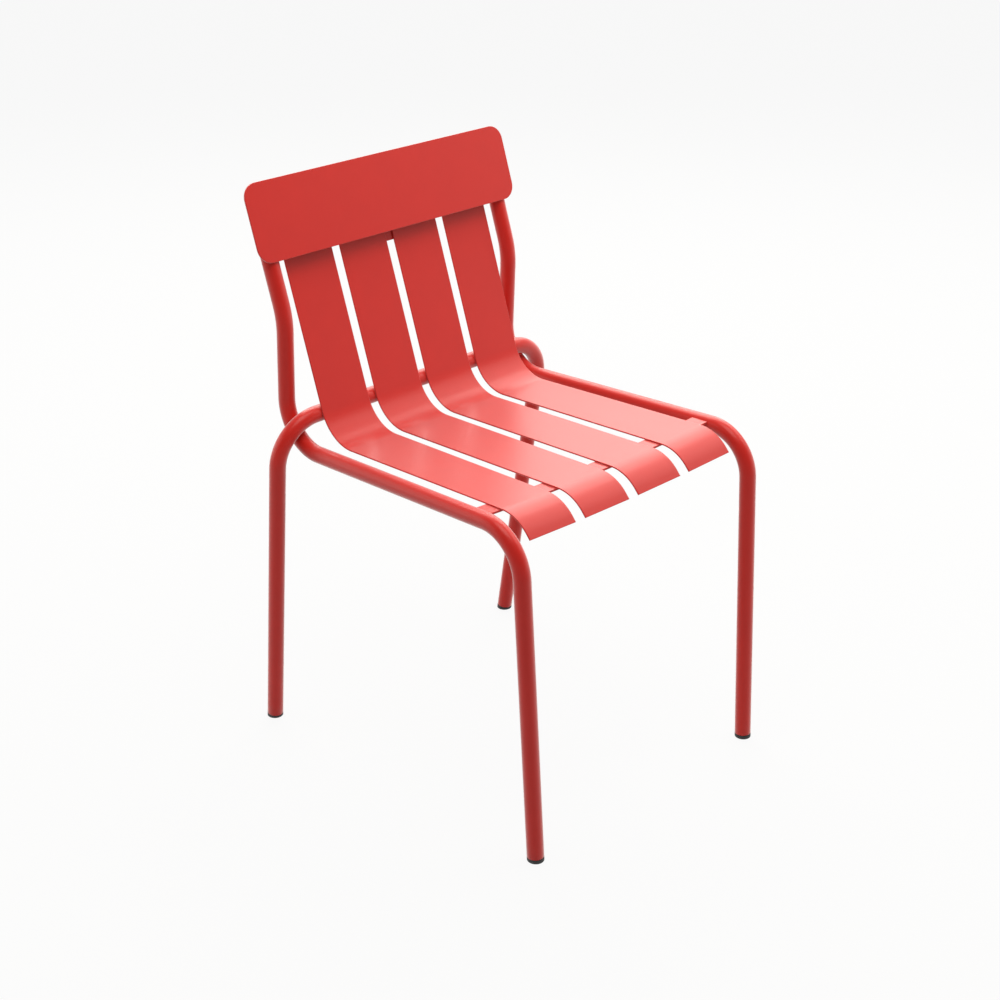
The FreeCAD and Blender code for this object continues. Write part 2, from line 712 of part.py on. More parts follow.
def bar_spot(across, depth, height):
    """A point by its distance across, behind the middle of and above the crossbar's bowed top."""
    bow = size("seat_dish") * (across / FRONT_WIDTH) ** 2
    rise = Rotation(Vector(1, 0, 0), -size("seat_rise_angle"))
    run = size("crossbar_run")
    drop = (size("slat_thickness") + size("weld_gap")) / math.cos(RISE)
    base = SEAT_CORNER + Vector(0, -run, run * math.tan(RISE) - drop)
    return base + rise.multVec(Vector(across, depth, bow + height))


def crossbar_slat_welds():
    pitch = size("slat_pitch") + size("slat_fan") * size("crossbar_run") / size("lip_run")
    depth = size("crossbar_width") / 2 + BEAD

    def spot_at(across):
        return bar_spot(across, depth, -BEAD)

    return slat_beads("crossbar_slat", pitch, 0, spot_at)


def crossbar_rail_welds():
    """A bead under each end of the crossbar, along the rail."""
    under = size("crossbar_thickness") + BEAD
    spot = bar_spot(FRONT_CORNER.x - RADIUS - 2 * BEAD, 0, -under)
    way = BACK_CORNER - FRONT_CORNER
    on_rail = FRONT_CORNER + way * ((spot.y - FRONT_CORNER.y) / way.y)
    spot.x = on_rail.x - beside_tube(spot.z - on_rail.z)
    one = bead("right_rail_bead", spot, way.normalize(), "bead_length")
    return weld_group("crossbar_rail_welds", with_mirror_images([one]))


def head_plate_welds():
    """Three beads under the top run of the tube and one on the inner side of each upright."""
    off_axis = RADIUS + size("weld_gap") - BEAD
    behind = -(size("tube_forward") + off_axis)
    up = size("top_tube_rise") - beside_tube(off_axis)
    pitch = size("slat_pitch")
    beads = []
    for name, across in (("left_top", -pitch), ("middle_top", 0), ("right_top", pitch)):
        spot = on_back(across, up, behind)
        beads.append(bead(name + "_plate_bead", spot, Vector(1, 0, 0), "bead_length"))
    straight_end = size("top_tube_rise") - size("tube_bend_radius")
    low = (size("plate_rise") + straight_end) / 2
    spot = on_back(UPRIGHT - beside_tube(off_axis), low, behind)
    one = bead("right_upright_plate_bead", spot, UP_BACK, "bead_length")
    return weld_group("head_plate_welds", beads + with_mirror_images([one]))


def tie_plate_welds():
    across = size("tie_width") / 2 + BEAD
    up = size("tie_rise") + size("tie_height") / 2
    spot = on_back(across, up, size("slat_thickness") + BEAD)
    one = bead("right_tie_bead", spot, UP_BACK, "bead_length")
    return weld_group("tie_plate_welds", with_mirror_images([one]))


def mirror(source, label):
    """The left-hand twin of a right-hand piece."""
    twin = doc.addObject("Part::Mirroring", label)
    twin.Source = source
    twin.Normal = Vector(1, 0, 0)
    twin.Base = Vector(0, 0, 0)
    twin.Label = label
    return twin


# The pieces
main_tube = hollow_tube("main_tube", main_path(BACK_CORNER.y))
rear_leg_hoop = hollow_tube("rear_leg_hoop", hoop_path())
top_cope = swept_rod("top_cope", main_tube.Base.Spine[0], "{tube_diameter} / 2 + {weld_gap}")
inner_right_slat = slat("inner_right_slat", ORDERS[0])
outer_right_slat = slat("outer_right_slat", ORDERS[1])
inner_left_slat = mirror(inner_right_slat, "inner_left_slat")
outer_left_slat = mirror(outer_right_slat, "outer_left_slat")
head_plate = flat_plate(
    "head_plate", "plate", UPRIGHT + RADIUS + size("plate_overhang"),
    f"({SPREAD_CELLS} + {{tube_diameter}}) / 2 + {{plate_overhang}}", "{plate_rise}",
    "-({tube_forward} + {tube_diameter} / 2 + {weld_gap})",
)
tie_plate = flat_plate(
    "tie_plate", "tie", size("tie_width") / 2, "{tie_width} / 2", "{tie_rise}",
    "{slat_thickness} + {weld_gap} + {tie_thickness}",
)
front_crossbar = crossbar("front_crossbar")
front_right_glide = glide("front_right_glide", FRONT_FOOT, FRONT_CORNER)
rear_right_glide = glide("rear_right_glide", REAR_FOOT, HOOP_CORNER)
front_left_glide = mirror(front_right_glide, "front_left_glide")
rear_left_glide = mirror(rear_right_glide, "rear_left_glide")
doc.recompute()

slats = [outer_left_slat, inner_left_slat, inner_right_slat, outer_right_slat]
weld_groups = [
    hoop_welds(), slat_hoop_welds(), slat_top_welds(), crossbar_slat_welds(),
    crossbar_rail_welds(), head_plate_welds(), tie_plate_welds(),
]
doc.recompute()

nodes = slats + weld_groups + [
    main_tube, rear_leg_hoop,
    head_plate, tie_plate, front_crossbar,
    front_left_glide, front_right_glide, rear_left_glide, rear_right_glide,
]

# Checks
for item in doc.Objects:
    if "Invalid" in item.State or "Error" in item.State:
        raise RuntimeError(f"{item.Label} failed: {item.State}")
for node in nodes:
    if node.Shape.isNull() or not node.Shape.isValid():
        raise RuntimeError(f"{node.Label} has no valid shape")

# The origin goes under the middle of the whole chair
whole = FreeCAD.BoundBox()
for node in nodes:
    whole.add(node.Shape.BoundBox)
shift = Vector(0, -(whole.YMin + whole.YMax) / 2, 0)
for node in nodes:
    node.Placement.Base += shift

os.makedirs("parts", exist_ok=True)
for node in nodes:
    node.Shape.exportStep(f"parts/{node.Label}.step")
    print(f"{node.Label}: {len(node.Shape.Solids)} solid, {node.Shape.Volume / 1000:.1f} cm3")
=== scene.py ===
import math

import bmesh
import bpy
import numpy as np
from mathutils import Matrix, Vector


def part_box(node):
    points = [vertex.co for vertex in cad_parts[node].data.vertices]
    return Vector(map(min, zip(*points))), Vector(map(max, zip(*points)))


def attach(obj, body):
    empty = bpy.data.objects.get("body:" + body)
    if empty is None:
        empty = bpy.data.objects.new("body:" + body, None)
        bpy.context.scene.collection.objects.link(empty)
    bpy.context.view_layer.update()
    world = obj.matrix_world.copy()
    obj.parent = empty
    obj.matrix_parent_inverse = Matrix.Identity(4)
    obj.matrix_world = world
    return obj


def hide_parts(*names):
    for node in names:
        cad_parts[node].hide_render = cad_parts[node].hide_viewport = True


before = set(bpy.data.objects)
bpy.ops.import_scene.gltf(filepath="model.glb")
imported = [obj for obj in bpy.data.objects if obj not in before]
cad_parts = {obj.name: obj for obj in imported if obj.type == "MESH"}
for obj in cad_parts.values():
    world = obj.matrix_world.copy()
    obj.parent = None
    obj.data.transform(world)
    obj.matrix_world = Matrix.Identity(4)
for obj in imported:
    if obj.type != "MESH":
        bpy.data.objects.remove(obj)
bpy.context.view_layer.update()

bl_info = {
    "name": "Bistro chair of bent tube",
    "version": (1, 0, 0),
    "blender": (4, 5, 0),
    "location": "3D View > Sidebar > Chair",
    "description": "Dresses the chair's tubes, slats, plates, welds and foot glides for a studio render",
    "category": "Add Mesh",
}

MM = 0.001
SLATS = {"outer_left_slat": -1.5, "inner_left_slat": -0.5, "inner_right_slat": 0.5, "outer_right_slat": 1.5}
WELDS = {
    "hoop_welds": "bead_length",
    "slat_hoop_welds": "slat_bead_length",
    "slat_top_welds": "bead_length",
    "crossbar_slat_welds": "bead_length",
    "crossbar_rail_welds": "bead_length",
    "head_plate_welds": "bead_length",
    "tie_plate_welds": "bead_length",
}

# How finely the surfaces are divided.
RUN_STEP = 20 * MM
ARC_STEP = math.radians(3)
AROUND_TUBE = 56
AROUND_GLIDE = 64
AROUND_BEAD = 20
AROUND_PAPER = 96
ROUND_STEPS = 4
BOWL_STEPS = 16
RIPPLE_STEPS = 6
FEWEST_RIPPLES = 6
# Steps down a slat's back, round its bend, along its seat, round its lip and down the lip's end.
SLAT_STEPS = (16, 30, 16, 24, 2)
SLAT_COLUMNS = 17
PLATE_ROWS = 9
PLATE_COLUMNS = 25
CORNER_COLUMNS = 13
CROSSBAR_COLUMNS = 49

# Edges that turn by more than this are drawn sharp, and points closer than that are one point.
SHARP_ANGLE = math.radians(40)
MERGE = 0.002 * MM


# Properties


def linear(hex_colour):
    """An sRGB hex colour as linear red, green, blue and alpha."""
    channels = np.array([int(hex_colour[i : i + 2], 16) for i in (0, 2, 4)]) / 255
    curved = ((channels + 0.055) / 1.055) ** 2.4
    return (*np.where(channels > 0.04045, curved, channels / 12.92).tolist(), 1.0)


def length(name, millimetres, description):
    return bpy.props.FloatProperty(
        name=name, description=description, default=millimetres * MM, unit="LENGTH", precision=5
    )


def angle(name, degrees, description):
    return bpy.props.FloatProperty(
        name=name, description=description, default=math.radians(degrees), subtype="ANGLE"
    )


def colour(name, hex_colour, description):
    return bpy.props.FloatVectorProperty(
        name=name, description=description, default=linear(hex_colour), size=4, subtype="COLOR"
    )


class ChairSizes(bpy.types.PropertyGroup):
    """Sizes of the chair. Depths count backwards from the middle of the chair, heights from the floor."""

    tube_diameter: length("Tube diameter", 22, "Outside diameter of both bent tubes")
    tube_wall: length("Tube wall", 1.5, "Wall thickness of both bent tubes")
    tube_bend: length("Tube bend", 60, "Centreline radius of the tube's corners")
    kink_bend: length("Kink bend", 110, "Centreline radius of the slight bend in each upright")
    back_lean: angle("Back lean", 18.8, "Lean of the back from upright")
    seat_rise: angle("Seat rise", 2.5, "Rise of the seat towards the front")
    seat_corner_depth: length("Seat corner depth", 154.7, "Depth at which the lines of seat and back meet")
    seat_corner_height: length("Seat corner height", 430.3, "Height at which the lines of seat and back meet")
    front_foot_width: length("Front foot", 203.3, "Distance of each front foot from the middle")
    front_foot_depth: length("Front foot depth", -252.7, "Depth of the front feet")
    front_width: length("Front corner", 208, "Distance of each front tube corner from the middle")
    front_corner_depth: length("Front corner depth", -226.8, "Depth of the front tube corners")
    front_corner_height: length("Front corner height", 444.4, "Height of the front tube corners")
    upright_width: length("Upright", 199, "Distance of each back upright from the middle")
    back_corner_depth: length("Back corner depth", 214.93, "Depth of the main tube's back corners")
    back_corner_height: length("Back corner height", 418.6, "Height of the main tube's back corners")
    tube_forward: length("Tube forward", 2.4, "How far the back's tube stands in front of the slats' faces")
    kink_rise: length("Kink rise", 170, "Distance up the back to the slight bend")
    top_tube_rise: length("Top tube rise", 328, "Distance up the back to the top run of the tube")
    rear_foot_width: length("Rear foot", 225.8, "Distance of each rear foot from the middle")
    rear_foot_depth: length("Rear foot depth", 242, "Depth of the rear feet")
    hoop_width: length("Hoop corner", 239.8, "Distance of each rear hoop corner from the middle")
    hoop_rise: length("Hoop rise", 39.5, "Distance up the back to the hoop's cross run")
    slat_thickness: length("Slat thickness", 2, "Thickness of the four slats")
    slat_width: length("Slat width", 78, "Width of each slat")
    slat_pitch: length("Slat pitch", 91, "Distance between neighbouring slats' middles")
    slat_fan: length("Slat fan", 3.6, "Spread of neighbouring slats over the plan's length")
    fan_run: length("Fan run", 646, "Length over which the slats fan out")
    slat_bend: length("Slat bend", 55, "Radius of the slats' bend from back to seat")
    lip_bend: length("Lip bend", 55, "Radius of the slats' rolled front lip")
    lip_run: length("Lip run", 323, "Depth of the seat up to the rolled lip")
    lip_slope: angle("Lip slope", 48, "Slope of the lip's end below level")
    lip_length: length("Lip length", 8, "Straight length at the lip's end")
    seat_dish: length("Seat dish", 5.3, "Rise of the seat's front from its middle to the rails")
    plate_half_width: length("Head plate", 222.5, "Half the width of the head plate")
    plate_rise: length("Head plate rise", 242.7, "Distance up the back to the head plate's lower edge")
    plate_height: length("Head plate height", 102, "Height of the head plate")
    plate_corner: length("Head plate corner", 20, "Radius of the head plate's corners")
    plate_thickness: length("Head plate thickness", 2.5, "Thickness of the head plate")
    tie_width: length("Tie plate width", 45, "Width of the plate behind the middle slats")
    tie_rise: length("Tie plate rise", 229.8, "Distance up the back to the tie plate's lower edge")
    tie_height: length("Tie plate height", 42, "Height of the tie plate")
    tie_corner: length("Tie plate corner", 4, "Radius of the tie plate's corners")
    tie_thickness: length("Tie plate thickness", 2.5, "Thickness of the tie plate")
    crossbar_run: length("Crossbar run", 308.7, "Distance from the seat's corner to the crossbar's middle")
    crossbar_width: length("Crossbar width", 25, "Width of the flat bar under the slats")
    crossbar_thickness: length("Crossbar thickness", 3, "Thickness of the flat bar under the slats")
    weld_gap: length("Weld gap", 0.2, "Gap between pieces that a weld joins")
    edge_round: length("Edge round", 0.45, "Radius that coating and deburring leave on sheared edges")
    glide_height: length("Glide height", 5, "Height of a foot glide below the tube's end")
    glide_stem: length("Glide stem", 22, "Length of the glide's stem inside the tube")
    glide_round: length("Glide round", 0.8, "Radius round the glide's foot")
    glide_edge: length("Glide edge", 0.4, "Radius round the glide's stem and flange")
    glide_clearance: length("Glide clearance", 0.15, "Gap between the glide's stem and the tube's bore")
    bead_diameter: length("Bead diameter", 4, "Diameter of a weld bead with its coat")
    bead_length: length("Bead length", 14, "Length of a short weld bead")
    hoop_bead_length: length("Hoop bead length", 10, "Length of the beads between hoop and main tube")
    hoop_bead_reach: length("Hoop bead reach", 7.5, "Distance of a hoop bead from where the tubes meet")
    slat_bead_length: length("Slat bead length", 36, "Length of the beads that hold the slats to the hoop")
    bead_ripple: length("Bead ripple", 1.6, "Distance between a weld bead's ripples")


class ChairColours(bpy.types.PropertyGroup):
    """Colours of the finishes and of the studio."""

    coat: colour("Powder coat", "C41A0C", "Red of the powder coat")
    coat_thin: colour("Powder coat, thin", "BA1609", "Red where the coat lies thinner")
    glide: colour("Glide plastic", "131314", "Black of the foot glides")
    floor: colour("Floor", "B0B0AE", "Pale paper that the chair stands on")
    lamp: colour("Lamps", "FFFCF5", "Slightly warm white of the softboxes")
    paper_white: colour("Paper white", "FFFFFF", "How the paper looks to the camera")


# Places


def unit(vectors):
    return vectors / np.linalg.norm(vectors, axis=-1, keepdims=True)


class Layout:
    """Places that several pieces share, in metres, worked out from the sizes.

    A point of the back is the seat's corner, plus a distance along the leaning back,
    plus a distance behind its front face.
    """

    def __init__(self, sizes):
        self.sizes = sizes
        lean = sizes.back_lean
        self.up_back = np.array([0.0, math.sin(lean), math.cos(lean)])
        self.behind = np.array([0.0, math.cos(lean), -math.sin(lean)])
        self.radius = sizes.tube_diameter / 2
        self.clear = self.radius + sizes.weld_gap
        self.plate_front = -sizes.tube_forward - self.clear - sizes.plate_thickness
        # The head plate's top back edge is the same place here and in the frame.
        self.seat_corner = np.array([0.0, sizes.seat_corner_depth, sizes.seat_corner_height])
        plate_edge = self.on_back(
            0.0, sizes.plate_rise + sizes.plate_height, self.plate_front + sizes.plate_thickness
        )
        self.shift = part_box("head_plate")[1].y - plate_edge[1]
        self.seat_corner[1] += self.shift

        self.front_foot = self.place(sizes.front_foot_width, sizes.front_foot_depth, 0)
        self.front_corner = self.place(
            sizes.front_width, sizes.front_corner_depth, sizes.front_corner_height
        )
        self.back_corner = self.place(
            sizes.upright_width, sizes.back_corner_depth, sizes.back_corner_height
        )
        self.kink = self.on_back(sizes.upright_width, sizes.kink_rise, -sizes.tube_forward)
        self.top_corner = self.on_back(sizes.upright_width, sizes.top_tube_rise, -sizes.tube_forward)
        self.rear_foot = self.place(sizes.rear_foot_width, sizes.rear_foot_depth, 0)
        self.hoop_corner = self.on_back(
            sizes.hoop_width, sizes.hoop_rise, sizes.slat_thickness + self.clear
        )

    def place(self, across, depth, height):
        return np.array([across, depth + self.shift, height])

    def on_back(self, across, along, behind):
        """Points of the leaning back, for numbers or for arrays of one shape."""
        across, along, behind = (np.asarray(n, float)[..., None] for n in (across, along, behind))
        return self.seat_corner + across * (1.0, 0.0, 0.0) + along * self.up_back + behind * self.behind

    def tube_end(self, foot, corner):
        return foot + unit(corner - foot) * (self.sizes.glide_height + self.sizes.weld_gap)


def both_sides(right_half):
    """A route's right half, then its mirror image back down the left side."""
    right_half = np.array(right_half)
    return np.concatenate([right_half, right_half[::-1] * (-1, 1, 1)])


# Surfaces


def bent_line(corners, radii):
    """Centreline of a bent tube: straight runs joined by arcs that touch both runs.

    Each arc turns about the normal of its two runs' plane. The direction across the line
    turns with the arcs and is constant along the runs, so the tube never twists.
    Returns the stations' points, directions along and directions across.
    """
    runs = unit(np.diff(corners, axis=0))
    across = unit(np.cross(runs[0], (1.0, 0.0, 0.0)))
    start = corners[0]
    points, ahead, sideways = [], [], []

    def straight(first, last, direction, side, closed):
        count = max(2, math.ceil(np.linalg.norm(last - first) / RUN_STEP))
        steps = np.linspace(0, 1, count, endpoint=closed)[:, None]
        points.append(first + steps * (last - first))
        ahead.append(np.broadcast_to(direction, points[-1].shape))
        sideways.append(np.broadcast_to(side, points[-1].shape))

    for before, after, corner, radius in zip(runs[:-1], runs[1:], corners[1:-1], radii):
        turn = math.acos(before @ after)
        first = corner - before * radius * math.tan(turn / 2)
        straight(start, first, before, across, False)
        pivot = unit(np.cross(before, after))
        inward = np.cross(pivot, before)
        angles = np.linspace(0, turn, math.ceil(turn / ARC_STEP) + 1)[:, None]
        points.append(first + radius * (inward * (1 - np.cos(angles)) + before * np.sin(angles)))
        ahead.append(before * np.cos(angles) + inward * np.sin(angles))
        sideways.append(
            across * np.cos(angles)
            + np.cross(pivot, across) * np.sin(angles)
            + pivot * (pivot @ across) * (1 - np.cos(angles))
        )
        # The arc's last station is the next run's first.
        start, across = points[-1][-1], sideways[-1][-1]
        points[-1], ahead[-1], sideways[-1] = points[-1][:-1], ahead[-1][:-1], sideways[-1][:-1]
    straight(start, corners[-1], runs[-1], across, True)
    return tuple(np.concatenate(part) for part in (points, ahead, sideways))


def tube_grid(corners, radii, radius, wall):
    """Skin of a hollow tube: circles carried out along the line, round its end and back along the bore.

    At each end the circles' radius and their push past it follow a half circle as wide as the wall.
    The second parameter is the angle round the line. Both parameters close on themselves.
    """
    points, ahead, sideways = bent_line(corners, radii)
    third = np.cross(ahead, sideways)
    last = len(points) - 1
    half_wall = wall / 2
    turn = np.linspace(0, math.pi, 2 * ROUND_STEPS + 1)[1:-1]
    rim = len(turn)
    station = np.concatenate([np.arange(last + 1), [last] * rim, np.arange(last, -1, -1), [0] * rim])
    middle = radius - half_wall
    ring = np.concatenate(
        [
            np.full(last + 1, radius),
            middle + half_wall * np.cos(turn),
            np.full(last + 1, radius - wall),
            middle - half_wall * np.cos(turn),
        ]
    )
    push = np.concatenate([np.zeros(last + 1), np.sin(turn), np.zeros(last + 1), -np.sin(turn)]) * half_wall
    round_line = np.linspace(0, math.tau, AROUND_TUBE, endpoint=False)[None, :, None]
    circle = sideways[station][:, None] * np.cos(round_line) + third[station][:, None] * np.sin(round_line)
    centre = points[station] + ahead[station] * push[:, None]
    return centre[:, None] + ring[:, None, None] * circle


def sheet_grids(place, across, along, thickness, edge):
    """Skin of a thin sheet with rounded edges, as a front, a back and a band between them.

    place(u, v, inset, depth) gives the sheet's points, where u and v run over its face,
    inset is the distance in from its outline and depth the distance below its front.
    The band follows the outline: a quarter circle, the flat edge, another quarter circle.
    A narrow strip of the band on each face keeps the shading of the face flat.
    """
    strip = 2 * edge
    u, v = np.meshgrid(across, along)
    turn = np.linspace(0, math.pi / 2, ROUND_STEPS + 1)
    inset = np.concatenate([[strip], edge * (1 - np.sin(turn)), edge * (1 - np.cos(turn)), [strip]])
    depth = np.concatenate(
        [[0.0], edge * (1 - np.cos(turn)), thickness - edge * (1 - np.sin(turn)), [thickness]]
    )
    rim_u = np.concatenate([u[0], u[1:, -1], u[-1, -2::-1], u[-2:0:-1, 0]])
    rim_v = np.concatenate([v[0], v[1:, -1], v[-1, -2::-1], v[-2:0:-1, 0]])
    front = place(u, v, strip, 0.0)
    back = place(u, v, strip, thickness)
    band = place(rim_u[None], rim_v[None], inset[:, None], depth[:, None])
    return [(front, False, False), (back[::-1], False, False), (band, False, True)]


def slat_place(layout, order):
    """How a slat lies: straight up the back, round into the seat, along it and over the rolled lip.

    v is 0 to 1 down the back, 1 to 2 round the bend, 2 to 3 along the seat, 3 to 4 round the lip
    and 4 to 5 down its straight end; u is -1 to 1 across. The seat's slope grows a little
    from the middle of the chair outwards, and in front of the bend the slats fan out.
    """
    sizes = layout.sizes
    half = sizes.slat_width / 2
    lean = sizes.back_lean
    middle = order * sizes.slat_pitch
    lifts = [sizes.seat_dish * ((middle + side * half) / sizes.front_width) ** 2 for side in (-1, 1)]
    # The top run's clearance hides a little of the slat's plane, and its corner bends cope the outer slats.
    cope = sizes.tube_bend - math.sqrt(layout.clear**2 - sizes.tube_forward**2)
    cope_middle = sizes.upright_width - sizes.tube_bend
    cope_rise = sizes.top_tube_rise - sizes.tube_bend

    def place(u, v, inset, depth):
        u, v, inset, depth = np.broadcast_arrays(u, v, inset, depth)
        x = middle + u * (half - inset)
        share = (x - middle) / half
        lift = (lifts[0] + lifts[1]) / 2 + share * (lifts[1] - lifts[0]) / 2
        rise = np.arctan(math.tan(sizes.seat_rise) + lift / sizes.crossbar_run)
        opening = math.pi / 2 - rise + lean
        reach = sizes.slat_bend / np.tan(opening / 2)
        beyond = np.maximum(np.abs(x) - cope_middle, 0)
        top = cope_rise + np.sqrt(cope**2 - beyond**2) - inset

        down = np.clip(v, 0, 1)
        round_bend = np.clip(v - 1, 0, 1) * (math.pi - opening)
        forward = np.clip(v - 2, 0, 1)
        round_lip = np.clip(v - 3, 0, 1) * (sizes.lip_slope + rise)
        end = np.clip(v - 4, 0, 1) * (sizes.lip_length - inset)

        along = top + down * (reach - top)
        back_y = along * math.sin(lean) + depth * math.cos(lean)
        back_z = along * math.cos(lean) - depth * math.sin(lean)
        centre_y = reach * math.sin(lean) - sizes.slat_bend * math.cos(lean)
        centre_z = reach * math.cos(lean) + sizes.slat_bend * math.sin(lean)
        bend_y = centre_y + (sizes.slat_bend + depth) * np.cos(lean + round_bend)
        bend_z = centre_z - (sizes.slat_bend + depth) * np.sin(lean + round_bend)
        lip_start = sizes.lip_run / np.cos(rise)
        run = reach + forward * (lip_start - reach)
        seat_y = -run * np.cos(rise) - depth * np.sin(rise)
        seat_z = run * np.sin(rise) - depth * np.cos(rise)
        lip_centre_y = -lip_start * np.cos(rise) - sizes.lip_bend * np.sin(rise)
        lip_centre_z = lip_start * np.sin(rise) - sizes.lip_bend * np.cos(rise)
        spoke = math.pi / 2 - rise + round_lip
        lip_y = lip_centre_y + (sizes.lip_bend - depth) * np.cos(spoke) - end * math.cos(sizes.lip_slope)
        lip_z = lip_centre_z + (sizes.lip_bend - depth) * np.sin(spoke) - end * math.sin(sizes.lip_slope)

        zones = [v <= 1, v <= 2, v <= 3]
        y = np.select(zones, [back_y, bend_y, seat_y], lip_y)
        z = np.select(zones, [back_z, bend_z, seat_z], lip_z)
        fan = 2 * order * sizes.slat_fan * np.maximum(-y, 0) / sizes.fan_run
        return np.stack([x + fan, y, z], -1) + layout.seat_corner

    return place


def plate_place(layout, half_width, height, rise, front, corner):
    """How a flat plate lies on the back.

    It is a rectangle whose half height shrinks by a circle's arc near both ends. u and v are
    -1 to 1 across and up the plate.
    """

    def place(u, v, inset, depth):
        u, v, inset, depth = np.broadcast_arrays(u, v, inset, depth)
        x = u * (half_width - inset)
        arc = corner - inset
        beyond = np.maximum(np.abs(x) - (half_width - corner), 0)
        half_height = height / 2 - corner + np.sqrt(np.maximum(arc**2 - beyond**2, 0))
        return layout.on_back(x, rise + height / 2 + v * half_height, front + depth)

    return place


def crossbar_place(layout):
    """How the flat bar lies under the slats.

    Across the chair it bows by a parabola, and each end is hollowed to a circle round the
    rail. u is -1 to 1 along the bar and v is -1 to 1 over its width.
    """
    sizes = layout.sizes
    rise = sizes.seat_rise
    rearward = np.array([0.0, math.cos(rise), -math.sin(rise)])
    upward = np.array([0.0, math.sin(rise), math.cos(rise)])
    under = (sizes.slat_thickness + sizes.weld_gap) / math.cos(rise)
    middle = layout.seat_corner + np.array(
        [0.0, -sizes.crossbar_run, sizes.crossbar_run * math.tan(rise) - under]
    )
    rail = layout.front_corner - layout.back_corner

    def place(u, v, inset, depth):
        u, v, inset, depth = np.broadcast_arrays(u, v, inset, depth)
        back = v * (sizes.crossbar_width / 2 - inset)
        spot = middle + back[..., None] * rearward
        share = (spot[..., 1] - layout.back_corner[1]) / rail[1]
        rail_x = layout.back_corner[0] + share * rail[0]
        rail_z = layout.back_corner[2] + share * rail[2]
        end_bow = sizes.seat_dish * ((rail_x - layout.clear) / sizes.front_width) ** 2
        over_rail = spot[..., 2] + end_bow - depth - rail_z
        end = rail_x - np.sqrt(layout.clear**2 - over_rail**2)
        x = u * (end - inset)
        bow = sizes.seat_dish * (x / sizes.front_width) ** 2
        return spot + x[..., None] * (1.0, 0.0, 0.0) + (bow - depth)[..., None] * upward

    return place


def glide_grid(layout, foot, corner):
    """Skin of a glide: circles round the leg's axis, from the stem's top down to a level sole."""
    sizes = layout.sizes
    axis = unit(corner - foot)
    side = unit(np.cross(axis, (1.0, 0.0, 0.0)))
    third = np.cross(axis, side)
    stem = layout.radius - sizes.tube_wall - sizes.glide_clearance
    small, foot_round = sizes.glide_edge, sizes.glide_round
    turn = np.linspace(0, math.pi / 2, ROUND_STEPS + 1)
    top = sizes.glide_height + sizes.glide_stem
    flange = sizes.glide_height
    upper_ring = np.concatenate(
        [[0.0, stem - 2 * small], stem - small + small * np.sin(turn), [stem, stem]]
        + [layout.radius - small + small * np.sin(turn)]
    )
    upper_height = np.concatenate(
        [[top, top], top - small + small * np.cos(turn), [flange + small, flange]]
        + [flange - small + small * np.cos(turn)]
    )
    lower_ring = np.concatenate(
        [layout.radius - foot_round + foot_round * np.cos(turn), [layout.radius / 2, 0.0]]
    )
    lower_height = np.concatenate([foot_round - foot_round * np.sin(turn), [0.0, 0.0]])
    ring = np.concatenate([upper_ring, lower_ring])[:, None, None]
    height = np.concatenate([upper_height, lower_height])[:, None, None]
    on_floor = np.concatenate([np.zeros(len(upper_ring)), np.ones(len(lower_ring))])[:, None, None]
    round_axis = np.linspace(0, math.tau, AROUND_GLIDE, endpoint=False)[None, :, None]
    spoke = ring * (side * np.cos(round_axis) + third * np.sin(round_axis))
    # Circles of the sole slide along the axis until they lie on the floor.
    slide = -spoke[..., 2:] / axis[2] * on_floor
    return foot + spoke + axis * (height + slide)


def beads_in(node, bead_length):
    """The beads of a weld group in the frame: each one's middle, direction and half length.

    A bead's points all lie within its own length of each other, give or take a tenth, and
    its direction is the one in which they spread most.
    """
    points = np.array([v.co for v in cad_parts[node].data.vertices])
    points = np.unique(points.round(7), axis=0)
    beads = []
    while len(points):
        own = np.linalg.norm(points - points[0], axis=1) < 1.1 * bead_length
        bead, points = points[own], points[~own]
        middle = (bead.min(axis=0) + bead.max(axis=0)) / 2
        direction = np.linalg.svd(bead - middle)[2][0]
        beads.append((middle, direction, np.abs((bead - middle) @ direction).max()))
    return beads


def seam_beads(beads, reach, half_length):
    """The hoop's beads, drawn where the gap between the two tubes is narrow enough to fill.

    On each side of the chair the tubes meet half way between the two beads of the frame,
    which reach from tube to tube. A bead is drawn nearer to that place, and lies square to
    the direction away from it and to the direction between the tubes.
    """
    for side in (-1, 1):
        pair = [bead for bead in beads if bead[0][0] * side > 0]
        meeting = (pair[0][0] + pair[1][0]) / 2
        for middle, between_tubes, _ in pair:
            away = unit(middle - meeting)
            yield meeting + away * reach, np.cross(between_tubes, away), half_length


def bead_grid(middle, direction, half_length, diameter, ripple):
    """Skin of a weld bead: circles that shrink to nothing at both ends and swell at each ripple.

    Each end is a quarter of an ellipse. The ripples are bent back round the bead, as the pool
    that left them was.
    """
    end_length = 1.5 * diameter
    ripple_lag = 0.15
    ripple_depth = 0.1
    not_along = (0.3, 0.2, 1.0)
    count = max(FEWEST_RIPPLES, round(2 * half_length / ripple))
    run = np.sin(np.linspace(-math.pi / 2, math.pi / 2, RIPPLE_STEPS * count + 1))[:, None]
    around = np.linspace(0, math.tau, AROUND_BEAD, endpoint=False)[None]
    fade = np.clip((1 - np.abs(run)) * half_length / end_length, 0, 1)
    taper = np.sqrt(1 - (1 - fade) ** 2)
    phase = run * half_length / ripple - ripple_lag * np.cos(around)
    swell = 1 - ripple_depth + ripple_depth * np.abs(np.cos(math.pi * phase))
    ring = (diameter / 2 * taper * swell)[..., None]
    side = unit(np.cross(direction, not_along))
    third = np.cross(direction, side)
    spoke = side * np.cos(around)[..., None] + third * np.sin(around)[..., None]
    return middle + direction * (run * half_length)[..., None] + ring * spoke


# Meshes


